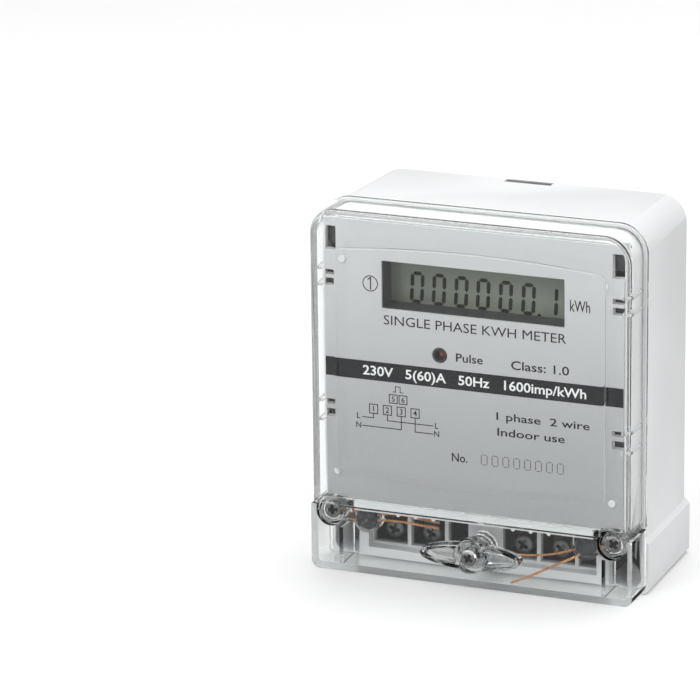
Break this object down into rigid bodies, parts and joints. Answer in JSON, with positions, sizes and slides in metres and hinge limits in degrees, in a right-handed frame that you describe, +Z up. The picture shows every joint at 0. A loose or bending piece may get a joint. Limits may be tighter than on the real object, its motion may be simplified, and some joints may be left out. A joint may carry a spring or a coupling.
{
  "type": "electricity meter",
  "caption": "Single-phase electricity meter with clear screwed covers over a printed plate and display, a front terminal row and a sprung rail clip behind.",
  "frame": {"origin": "middle of the underside, on the surface that the meter stands on", "axes": "+X to the right seen from the front, +Y to the back, +Z up; the front faces -Y"},
  "size_m": [0.1026, 0.0598, 0.1132],
  "materials": {
    "case": "fine satin moulded",
    "clear_cover": "polished clear polycarbonate",
    "seal_rubber": "soft matt",
    "screw_steel": "bright zinc plated",
    "printed_plate": "satin silver with black printing",
    "white_plastic": "satin moulded",
    "dark_bezel": "matt",
    "display": "grey-green reflective display",
    "pin_metal": "tinned",
    "red_lens": "diffused red",
    "black_plastic": "satin",
    "circuit_board": "solder mask",
    "film_capacitor": "epoxy",
    "can_sleeve": "shrink sleeve",
    "blue_disc": "epoxy dip",
    "resistor_body": "lacquer",
    "block_plastic": "light grey moulded",
    "brass": "machined",
    "copper": "bare",
    "lead_insulation": "wire insulation",
    "zinc_steel": "galvanised",
    "seal_lead": "dull pressed lead"
  },
  "bodies": {
    "root": {"rear_case": "case", "cover_gasket": "seal_rubber", "main_cover": "clear_cover", "main_cover_screws": "screw_steel", "nameplate": "printed_plate", "nameplate_pins": "white_plastic", "panel_frame": "white_plastic", "lcd_bezel": "dark_bezel", "lcd_glass": "display", "lcd_pins": "pin_metal", "pulse_led": "red_lens", "led_sleeve": "black_plastic", "metering_board": "circuit_board", "board_screws": "screw_steel", "dropper_capacitor": "film_capacitor", "smoothing_capacitor": "can_sleeve", "varistor": "blue_disc", "metering_chip": "black_plastic", "controller_chip": "black_plastic", "crystal": "pin_metal", "optocoupler": "black_plastic", "resistors": "resistor_body", "terminal_block": "block_plastic", "terminal_block_screws": "screw_steel", "current_shunt": "copper", "neutral_link": "copper", "internal_leads": "lead_insulation", "terminal_1": "brass", "terminal_2": "brass", "terminal_3": "brass", "terminal_4": "brass", "pulse_terminals": "brass", "clip_spring": "zinc_steel", "lead_seals": "seal_lead", "seal_wire_right_upper": "copper", "seal_wire_right_lower": "copper", "seal_wire_left_upper": "copper", "seal_wire_left_lower": "copper"},
    "din_clip": {"din_clip": "white_plastic"},
    "terminal_cover": {"terminal_cover": "clear_cover", "winged_sleeve": "clear_cover"},
    "terminal_cover_screw": {"terminal_cover_screw": "screw_steel", "screw_retainer": "zinc_steel"},
    "hanging_lug": {"hanging_lug": "zinc_steel"},
    "clamp_pad_1": {"clamp_pad_1": "zinc_steel"},
    "lower_screw_1": {"lower_screw_1": "zinc_steel"},
    "upper_screw_1": {"upper_screw_1": "zinc_steel"},
    "clamp_pad_2": {"clamp_pad_2": "zinc_steel"},
    "lower_screw_2": {"lower_screw_2": "zinc_steel"},
    "upper_screw_2": {"upper_screw_2": "zinc_steel"},
    "clamp_pad_3": {"clamp_pad_3": "zinc_steel"},
    "lower_screw_3": {"lower_screw_3": "zinc_steel"},
    "upper_screw_3": {"upper_screw_3": "zinc_steel"},
    "clamp_pad_4": {"clamp_pad_4": "zinc_steel"},
    "lower_screw_4": {"lower_screw_4": "zinc_steel"},
    "upper_screw_4": {"upper_screw_4": "zinc_steel"},
    "pulse_tip_5": {"pulse_tip_5": "brass"},
    "pulse_screw_5": {"pulse_screw_5": "zinc_steel"},
    "pulse_tip_6": {"pulse_tip_6": "brass"},
    "pulse_screw_6": {"pulse_screw_6": "zinc_steel"}
  },
  "joints": [
    {"name": "rail_clip_release", "type": "slide", "parent": "root", "child": "din_clip", "axis": [0, 0, -1], "range_m": [0, 0.004], "stiffness_N_per_m": 1500, "springref_m": -0.004, "deforming": ["clip_spring"]},
    {"name": "terminal_cover_off", "type": "slide", "parent": "root", "child": "terminal_cover", "axis": [0, -1, 0], "range_m": [0, 0.03]},
    {"name": "terminal_cover_screw_turn", "type": "hinge", "parent": "terminal_cover", "child": "terminal_cover_screw", "pos_m": [0, -0.02835, 0.0096], "axis": [0, 1, 0], "continuous": true},
    {"name": "hanging_lug_slide", "type": "slide", "parent": "root", "child": "hanging_lug", "axis": [0, 0, 1], "range_m": [0, 0.014]},
    {"name": "clamp_pad_1_slide", "type": "slide", "parent": "root", "child": "clamp_pad_1", "axis": [0, 1, 0], "range_m": [0, 0.004]},
    {"name": "lower_screw_1_turn", "type": "hinge", "parent": "clamp_pad_1", "child": "lower_screw_1", "pos_m": [-0.0304, -0.00835, 0.0095], "axis": [0, 1, 0], "range_deg": [0, 2060]},
    {"name": "upper_screw_1_turn", "type": "hinge", "parent": "clamp_pad_1", "child": "upper_screw_1", "pos_m": [-0.0304, -0.00835, 0.0165], "axis": [0, 1, 0], "range_deg": [0, 2060]},
    {"name": "clamp_pad_2_slide", "type": "slide", "parent": "root", "child": "clamp_pad_2", "axis": [0, 1, 0], "range_m": [0, 0.004]},
    {"name": "lower_screw_2_turn", "type": "hinge", "parent": "clamp_pad_2", "child": "lower_screw_2", "pos_m": [-0.0184, -0.00835, 0.0095], "axis": [0, 1, 0], "range_deg": [0, 2060]},
    {"name": "upper_screw_2_turn", "type": "hinge", "parent": "clamp_pad_2", "child": "upper_screw_2", "pos_m": [-0.0184, -0.00835, 0.0165], "axis": [0, 1, 0], "range_deg": [0, 2060]},
    {"name": "clamp_pad_3_slide", "type": "slide", "parent": "root", "child": "clamp_pad_3", "axis": [0, 1, 0], "range_m": [0, 0.004]},
    {"name": "lower_screw_3_turn", "type": "hinge", "parent": "clamp_pad_3", "child": "lower_screw_3", "pos_m": [0.0109, -0.00835, 0.0095], "axis": [0, 1, 0], "range_deg": [0, 2060]},
    {"name": "upper_screw_3_turn", "type": "hinge", "parent": "clamp_pad_3", "child": "upper_screw_3", "pos_m": [0.0109, -0.00835, 0.0165], "axis": [0, 1, 0], "range_deg": [0, 2060]},
    {"name": "clamp_pad_4_slide", "type": "slide", "parent": "root", "child": "clamp_pad_4", "axis": [0, 1, 0], "range_m": [0, 0.004]},
    {"name": "lower_screw_4_turn", "type": "hinge", "parent": "clamp_pad_4", "child": "lower_screw_4", "pos_m": [0.0229, -0.00835, 0.0095], "axis": [0, 1, 0], "range_deg": [0, 2060]},
    {"name": "upper_screw_4_turn", "type": "hinge", "parent": "clamp_pad_4", "child": "upper_screw_4", "pos_m": [0.0229, -0.00835, 0.0165], "axis": [0, 1, 0], "range_deg": [0, 2060]},
    {"name": "pulse_tip_5_slide", "type": "slide", "parent": "root", "child": "pulse_tip_5", "axis": [0, 1, 0], "range_m": [0, 0.0025]},
    {"name": "pulse_screw_5_turn", "type": "hinge", "parent": "pulse_tip_5", "child": "pulse_screw_5", "pos_m": [-0.00865, 0.00165, 0.011], "axis": [0, 1, 0], "range_deg": [0, 2002]},
    {"name": "pulse_tip_6_slide", "type": "slide", "parent": "root", "child": "pulse_tip_6", "axis": [0, 1, 0], "range_m": [0, 0.0025]},
    {"name": "pulse_screw_6_turn", "type": "hinge", "parent": "pulse_tip_6", "child": "pulse_screw_6", "pos_m": [0.03265, 0.00165, 0.011], "axis": [0, 1, 0], "range_deg": [0, 2002]}
  ],
  "couplings": [
    {"joint": "lower_screw_1_turn", "follows": "clamp_pad_1_slide", "rad_per_m": 8976},
    {"joint": "upper_screw_1_turn", "follows": "clamp_pad_1_slide", "rad_per_m": 8976},
    {"joint": "lower_screw_2_turn", "follows": "clamp_pad_2_slide", "rad_per_m": 8976},
    {"joint": "upper_screw_2_turn", "follows": "clamp_pad_2_slide", "rad_per_m": 8976},
    {"joint": "lower_screw_3_turn", "follows": "clamp_pad_3_slide", "rad_per_m": 8976},
    {"joint": "upper_screw_3_turn", "follows": "clamp_pad_3_slide", "rad_per_m": 8976},
    {"joint": "lower_screw_4_turn", "follows": "clamp_pad_4_slide", "rad_per_m": 8976},
    {"joint": "upper_screw_4_turn", "follows": "clamp_pad_4_slide", "rad_per_m": 8976},
    {"joint": "pulse_screw_5_turn", "follows": "pulse_tip_5_slide", "rad_per_m": 13963},
    {"joint": "pulse_screw_6_turn", "follows": "pulse_tip_6_slide", "rad_per_m": 13963}
  ]
}
